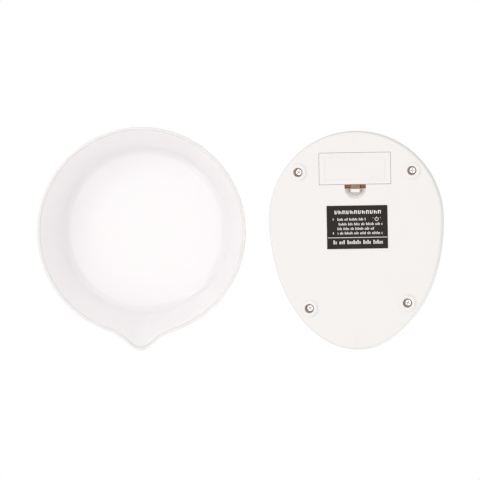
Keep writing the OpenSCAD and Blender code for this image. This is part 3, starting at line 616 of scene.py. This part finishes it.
# %% Where the screws stand
shanks = np.array([v.co for v in nodes["housing_screws"].data.vertices])
screw_middle = (shanks.min(0) + shanks.max(0)) / 2
screw_axes = []
for corner in ((-1, -1), (1, -1), (-1, 1), (1, 1)):
    own = shanks[(np.sign(shanks - screw_middle)[:, :2] == corner).all(axis=1)]
    screw_axes.append((own.min(0) + own.max(0))[:2] / 2)
screw_axes = np.array(screw_axes)
print("screws stand at", np.round(screw_axes, 4).tolist())

# %% Softened copies of CAD parts
lower_shell = softened("bottom_cover", "lower_shell", abs_grained, "housing", 0.25 * MM)
softened(
    "top_cover", "upper_shell", abs_grained, "housing", 0.25 * MM, clear=False,
)
softened(
    "control_panel", "silver_trim", silver_paint, "housing", 0.15 * MM, clear=False,
)
softened("lcd_panel", "display_glass", lcd_glass, "housing", 0.1 * MM)
softened("display_window", "clear_window", acrylic, "housing", 0.1 * MM)

# %% [markdown]
# The faces deep in the wells, in the slot and in the seam round the cover get a warmer and darker
# tint of the same ABS, and so does the latch strip. That tint is painted shade: it makes them
# read as deep, and it isn't worked out from the light. Faces are picked by where they lie.

# %% Deep faces
WELL_R = 4.9 * MM
COVER_HALF = np.array((37.5, 16.5)) * MM
COVER_MIDDLE = np.array((SCALE_X, 71.7 * MM))
SLOT_L = 4.6 * MM
SLOT_HALF_W = 11.6 * MM
SLOT_FLOOR = 2.5 * MM
SEAM_TOP = 5 * MM
NEAR = 0.5 * MM
UPRIGHT = 0.3


def paint_shade(piece, first, rule):
    """Gives a piece's faces the materials after its first, which are painted shade: rule takes face
    middles and normals and returns an index for each face."""
    for material in first:
        piece.data.materials.append(material)
    middles = np.array([f.center for f in piece.data.polygons])
    normals = np.array([f.normal for f in piece.data.polygons])
    index = rule(middles, normals).astype(np.int32)
    piece.data.polygons.foreach_set("material_index", index)
    print(piece.name, "faces by material:", np.bincount(index).tolist())


def seam_or_slot(middles, normals):
    """1 where a face stands on the cover's outline, 2 where it lies in the slot, else 0."""
    offset = middles[:, :2] - COVER_MIDDLE
    beyond = np.abs(offset) - COVER_HALF
    on_outline = (np.abs(beyond.max(axis=1)) < NEAR) & (np.abs(normals[:, 2]) < UPRIGHT)
    in_slot = (np.abs(offset[:, 0]) < SLOT_HALF_W) & (offset[:, 1] < -COVER_HALF[1] + NEAR)
    in_slot &= (offset[:, 1] > -COVER_HALF[1] - SLOT_L) & (middles[:, 2] > SLOT_FLOOR)
    return np.where(in_slot, 2, np.where(on_outline & (middles[:, 2] < SEAM_TOP), 1, 0))


def shell_rule(middles, normals):
    """Wells take 1, and then the seam and the slot as they come."""
    from_axis = np.linalg.norm(middles[:, None, :2] - screw_axes[None], axis=2).min(axis=1)
    in_well = (from_axis < WELL_R + 0.05 * MM) & (middles[:, 2] > 0.5 * MM)
    return np.where(in_well, 1, seam_or_slot(middles, normals))


# Painted shade goes on the shell's wells, seam and slot, and on the cover's edge and latch strip.
paint_shade(lower_shell, [abs_pale_painted_shade, abs_tan_painted_shade], shell_rule)
cover = softened("battery_cover", "battery_door_cover", abs_grained, "battery_door", 0.25 * MM)
paint_shade(cover, [abs_pale_painted_shade, abs_brown_painted_shade], seam_or_slot)

# %% [markdown]
# ## Screws
# A cross-head pan screw has a low dome with a cross pressed into it. The head and shank are one
# turned profile, and the cross is a push into the dome wherever a point lies inside one of the
# two arms, with a short slope at the arms' sides where the punch tapers.

# %% Housing screws
low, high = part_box("housing_screws")
head_z = low.z / MM
tip_z = high.z / MM
head_r = 3.25
head_h = 2.3
shank_r = 1.5
face = [(r, head_z + 0.12 * (r / 3.0) ** 2, 0) for r in np.linspace(0, 2.9, 32)]
screw_profile = rounded(face + [
    (head_r, head_z + 0.5, 0.3), (head_r, head_z + head_h, 0.2), (shank_r, head_z + head_h, 0),
    (shank_r, tip_z - 1.2, 0.2), (0.6, tip_z, 0.1), (0, tip_z, 0),
], steps=4) * MM
CROSS_HALF = 0.4 * MM
CROSS_REACH = 2.0 * MM
CROSS_DEPTH = 1.3 * MM


def press_cross(points):
    """Moves head points in by depth * a * b, where a falls from 1 to 0 across an arm's side and
    b across its end."""
    x, y = np.abs(points[:, 0]), np.abs(points[:, 1])
    side_share = np.clip((CROSS_HALF - np.minimum(x, y)) / (0.25 * MM) + 0.5, 0, 1)
    end_share = np.clip((CROSS_REACH - np.maximum(x, y)) / (0.5 * MM) + 0.5, 0, 1)
    on_face = points[:, 2] < (head_z + 0.4) * MM
    points[:, 2] += CROSS_DEPTH * side_share * end_share * on_face
    return points


screw_points, screw_faces = turned(screw_profile[::-1], 96)
screw_points = press_cross(screw_points)
all_points = []
all_faces = []
for number, (x, y) in enumerate(screw_axes):
    a = math.radians(20 + 35 * number)
    swing = np.array([[math.cos(a), -math.sin(a), 0], [math.sin(a), math.cos(a), 0], [0, 0, 1]])
    all_points.append(screw_points @ swing.T + np.array((x, y, 0)))
    all_faces += [[v + number * len(screw_points) for v in f] for f in screw_faces]
all_points = np.concatenate(all_points)
# Faces down inside the cross take the darker zinc as painted shade.
depth_in = np.array([all_points[f, 2].mean() for f in all_faces]) - head_z * MM
reach = np.array([np.abs(all_points[f, :2].mean(0) - screw_axes).sum(1).min() for f in all_faces])
cross_shade_faces = (depth_in > 0.55 * MM) & (depth_in < 1.6 * MM) & (reach < 2.6 * MM)
screws = mesh_object(
    "phillips_screws", all_points, all_faces, [bright_zinc, zinc_cross_shade], cross_shade_faces.astype(np.int32),
)
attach(screws, "housing")
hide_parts("housing_screws")
print("screws:", len(screws.data.polygons), "faces")

# %% [markdown]
# ## Button caps
# The caps are turned: a finger-sized face with a soft edge, a flange that keeps the cap in the
# housing, and the stem that presses the switch. Each carries a printed mark, a power ring on one
# and a pair of arrows on the other.

# %% Caps
def cap(node, body):
    """A button cap in its CAD node's place: face, flange and stem as one turned profile."""
    low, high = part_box(node)
    face_z, stem_z = high.z / MM, low.z / MM
    flange_z = face_z - 3
    shape = rounded([
        (0, stem_z, 0), (2, stem_z, 0.2), (2, flange_z - 1, 0), (6.5, flange_z - 1, 0.2),
        (6.5, flange_z, 0.2), (5.5, flange_z, 0), (5.5, face_z, 0.7), (4, face_z - 0.05, 3),
        (0, face_z - 0.25, 0),
    ]) * MM
    points, faces = turned(shape, 96)
    middle = (low + high) / 2
    points += np.array((middle.x, middle.y, 0))
    made = mesh_object(node + "_cap", points, faces, [key_paint])
    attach(made, body)
    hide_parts(node)
    return Vector((middle.x, middle.y, high.z - 0.2 * MM))


power_face = cap("power_button", "power_key")
unit_face = cap("unit_button", "unit_key")

# %% [markdown]
# ## Print
# Printed marks are films of ink. Each is a set of flat shapes a few hundredths of a millimetre
# thick, so they are real surfaces that catch the light a little differently from what they are
# printed on. A mark is drawn in millimetres on a sheet, x to the right and y up, and then laid
# on its face.

# %% Ink shapes
def quads_film(quads, thickness):
    """Points and faces of flat four-sided shapes (n, 4, 2) given a thickness: each becomes a closed
    box between z = 0 and z = thickness."""
    n = len(quads)
    flat = np.asarray(quads, float)
    low = np.concatenate([flat, np.zeros((n, 4, 1))], 2)
    high = np.concatenate([flat, np.full((n, 4, 1), thickness)], 2)
    points = np.concatenate([low, high], 1).reshape(-1, 3)
    box = np.array([(3, 2, 1, 0), (4, 5, 6, 7), (0, 1, 5, 4), (1, 2, 6, 5), (2, 3, 7, 6), (3, 0, 4, 7)])
    faces = (np.arange(n)[:, None, None] * 8 + box[None]).reshape(-1, 4)
    return points, faces.tolist()


def bar(x, y, w, h):
    """A rectangle by its middle and size, anticlockwise."""
    return [(x - w / 2, y - h / 2), (x + w / 2, y - h / 2), (x + w / 2, y + h / 2), (x - w / 2, y + h / 2)]


def ring_quads(x, y, r, w, start, end, steps=24):
    """A ring sector between two angles in degrees as quads between radii r - w/2 and r + w/2."""
    t = np.radians(np.linspace(start, end, steps + 1))
    inner = np.stack([x + (r - w / 2) * np.cos(t), y + (r - w / 2) * np.sin(t)], -1)
    outer = np.stack([x + (r + w / 2) * np.cos(t), y + (r + w / 2) * np.sin(t)], -1)
    return np.stack([inner[:-1], outer[:-1], outer[1:], inner[1:]], 1).tolist()


def print_on(name, quads, place, across, along, material, body, thickness=0.03):
    """Lays ink shapes at a place: the sheet's x runs across, its y along, and the ink stands on
    the side where across x along points."""
    points, faces = quads_film(quads, thickness)
    a, b = Vector(across).normalized(), Vector(along).normalized()
    axes = np.array([a, b, a.cross(b)])
    made = mesh_object(name, (points @ axes) * MM + np.array(place), faces, [material])
    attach(made, body)
    print(name, "shapes:", len(quads))
    return made


# %% [markdown]
# The label's print is greeked: rows of small strokes grouped like words, which read as small
# print from a normal distance and say nothing close up. A heading, four rows, a rule and a
# bolder last row follow the layout of such labels, with one power mark.

# %% Label print
def words(x0, x1, y, pitch, stroke, height, first):
    """A row from x0 to x1 of strokes that stand for letters: words of 5, 3, 7 and 4 letters take
    turns, each with a gap of one letter after it. First is where in that cycle the row starts."""
    ends = np.cumsum([5, 1, 3, 1, 7, 1, 4, 1])
    letters = np.arange(int((x1 - x0) / pitch)) + first
    made = []
    for k, x in enumerate(x0 + pitch * (np.arange(len(letters)) + 0.5)):
        spot = letters[k] % ends[-1]
        if spot + 1 in ends[1::2]:
            continue
        tall = height * (1.0 if (letters[k] * 7) % 5 < 2 else 0.68)
        made.append(bar(x, y - height / 2 + tall / 2, stroke, tall))
        if (letters[k] * 3) % 4 < 2:
            made.append(bar(x + pitch * 0.22, y - height / 2 + tall * 0.3, pitch * 0.5, stroke * 0.6))
    return made


low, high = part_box("instruction_label")
label_w, label_l = (high.x - low.x) / MM, (high.y - low.y) / MM
half_w, half_l = label_w / 2, label_l / 2
ink = []
for k, x in enumerate(np.linspace(-half_w + 9.7, half_w - 8.7, 12)):
    ink.append(bar(x - 0.8, half_l - 7.0, 1.1, 3.6))
    ink.append(bar(x + 0.4, half_l - 7.0 + (-1.3, 0.2, 1.3)[k % 3], 1.4, 0.9))
    ink.append(bar(x + 1.3, half_l - 7.0 + (0.5, -0.5, 0)[k % 3], 0.8, (2.4, 2.6, 3.6)[k % 3]))
row_y = half_l - np.array([14.4, 19.4, 24.2, 28.9])
row_end = np.array([42, 59, 50, 59]) - half_w
for number, (y, end) in enumerate(zip(row_y, row_end)):
    ink += words(11 - half_w, end, y, 1.25, 0.72, 2.7, 9 * number)
ink += [bar(6.8 - half_w, row_y[0], 0.7, 2.0), bar(6.8 - half_w, row_y[3], 0.9, 2.0)]
ink += ring_quads(52.5 - half_w, row_y[0], 1.75, 0.55, 125, 415)
ink += [bar(52.5 - half_w, row_y[0] + 1.5, 0.6, 1.8)]
ink += [bar(48.6 - half_w, row_y[0] + 1.2, 0.45, 0.9), bar(56.4 - half_w, row_y[0] + 1.2, 0.45, 0.9)]
ink += [bar(0.3, half_l - 33.6, label_w - 1.6, 0.6)]
ink += words(6.3 - half_w, 59 - half_w, half_l - 38.4, 2.1, 1.25, 4.1, 3)
middle = ((low.x + high.x) / 2, (low.y + high.y) / 2, low.z)
print_on("label_print", ink, middle, (-1, 0, 0), (0, 1, 0), white_ink, "housing")

# %% Marks on the caps
power_mark = ring_quads(0, 0, 1.9, 0.5, 120, 420) + [bar(0, 1.5, 0.5, 2.0)]
print_on(
    "power_mark", power_mark, power_face, (1, 0, 0), (0, 1, 0), white_ink, "power_key", 0.05,
)
arrows = [
    [(-0.9, 0.5), (0.9, 0.5), (0.1, 2.3), (-0.1, 2.3)],
    [(-0.1, -2.3), (0.1, -2.3), (0.9, -0.5), (-0.9, -0.5)],
]
print_on("unit_mark", arrows, unit_face, (1, 0, 0), (0, 1, 0), white_ink, "unit_key", 0.05)

# %% [markdown]
# The display shows a zero, as an empty scale does. Its digits are seven segments with mitred
# ends, leaning by six degrees, and the unlit ones show as a faint ghost, as they do on any
# reflective display.

# %% Display segments
DIGIT_W, DIGIT_H, SEGMENT = 5.6, 10.5, 1.15
LEAN = math.tan(math.radians(6))


def segment(x0, y0, x1, y1):
    """A bar from one end to the other with pointed ends, as two quads, leaning with height."""
    start, end = np.array((x0, y0)), np.array((x1, y1))
    run = (end - start) / np.linalg.norm(end - start)
    side = np.array((-run[1], run[0])) * SEGMENT / 2
    gap = run * 0.12
    tip = run * SEGMENT / 2
    a, b = start + gap, end - gap
    corners = [[a, a + tip - side, b - tip - side, b], [b, b - tip + side, a + tip + side, a]]
    return [[(px + LEAN * py, py) for px, py in quad] for quad in corners]


def digit(x, lit):
    """The segments of one digit, named a to g as on a data sheet: those in lit, and the rest."""
    w, h = DIGIT_W / 2, DIGIT_H / 2
    ends = {
        "a": (-w, h, w, h), "b": (w, h, w, 0), "c": (w, 0, w, -h), "d": (-w, -h, w, -h),
        "e": (-w, 0, -w, -h), "f": (-w, h, -w, 0), "g": (-w, 0, w, 0),
    }
    on, off = [], []
    for name, (x0, y0, x1, y1) in ends.items():
        (on if name in lit else off).extend(segment(x0 + x, y0, x1 + x, y1))
    return on, off


low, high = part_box("lcd_panel")
middle = ((low.x + high.x) / 2, (low.y + high.y) / 2, high.z)
shown, ghost = digit(13.5, "abcdef")
for x in (-13.5, -4.5, 4.5):
    ghost += digit(x, "")[1]
print_on("display_digits", shown, middle, (1, 0, 0), (0, 1, 0), black_segment, "housing", 0.02)
print_on(
    "display_ghosts", ghost, middle, (1, 0, 0), (0, 1, 0), ghost_segment, "housing", 0.01,
)

# %% [markdown]
# ## Cells
# An AA cell is a steel can in a shrink wrap, with the can's end and the positive nub left bare,
# and a copper-coloured band of print at the positive end. The profile is turned about the
# cell's own axis, and each face takes its finish from where along the cell it lies.

# %% AA cells
def cell(node, name, direction):
    """A cell along X in its CAD node's place, its nub towards +X or -X."""
    low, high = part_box(node)
    length, radius = (high.x - low.x) / MM, (high.z - low.z) / 2 / MM
    nub = 1.2
    wrapped = length - nub - 12
    shape = rounded([
        (0, 0, 0), (4.5, 0, 0.3), (4.7, 0.25, 0.1), (6.4, 0.25, 0.3), (6.5, 0, 0.2), (radius, 0, 0.5),
        (radius, 9, 0), (radius, wrapped, 0), (radius, length - nub, 0.7),
        (5.6, length - nub, 0.2), (5.4, length - nub - 0.3, 0.1), (2.7, length - nub - 0.3, 0.1),
        (2.7, length, 0.5), (0, length, 0),
    ]) * MM
    points, faces = turned(shape, 96)
    far = np.array([points[f].mean(0) for f in faces])
    out = np.hypot(far[:, 0], far[:, 1])
    bare = out < radius * MM - 0.9 * MM
    band = far[:, 2] > wrapped * MM
    kind = np.where(bare, 2, np.where(band, 1, 0)).astype(np.int32)
    middle = (low + high) / 2
    start = low.x if direction > 0 else high.x
    laid = np.stack([points[:, 2] * direction, points[:, 0] * direction, points[:, 1]], -1)
    made = mesh_object(name, laid + np.array((start, middle.y, middle.z)), faces,
                       [cell_wrap, cell_band, nickel], kind)
    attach(made, "housing")
    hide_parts(node)


cell("battery_rear", "aa_cell_rear", 1)
cell("battery_front", "aa_cell_front", -1)

# %% [markdown]
# ## Other CAD parts
# Parts that are right as they are keep their CAD mesh and get their real material.

# %% Materials on CAD nodes
finish = {
    "battery_link_contact": nickel, "battery_positive_contact": nickel, "battery_negative_contact": nickel,
    "load_cell": aluminium, "strain_gauge_seals": silicone, "load_cell_spacer": zinc,
    "load_cell_screws": zinc, "platform_spacer": zinc, "platform_bracket": abs_polished,
    "platform_screws": zinc, "overload_pads": rubber, "circuit_board": solder_mask,
    "controller_chip": epoxy, "board_capacitors": capacitor_sleeve, "board_screws": zinc,
    "power_switch": switch_tin, "unit_switch": switch_tin, "power_plunger": rubber,
    "unit_plunger": rubber, "lcd_frame": abs_polished, "lcd_connector": zebra,
    "battery_wire_red": red_pvc, "battery_wire_black": black_pvc, "load_cell_cable": grey_pvc,
    "instruction_label": vinyl,
}
for name, material in finish.items():
    mesh = nodes[name].data
    mesh.materials.clear()
    mesh.materials.append(material)
print("finished CAD nodes:", len(finish))
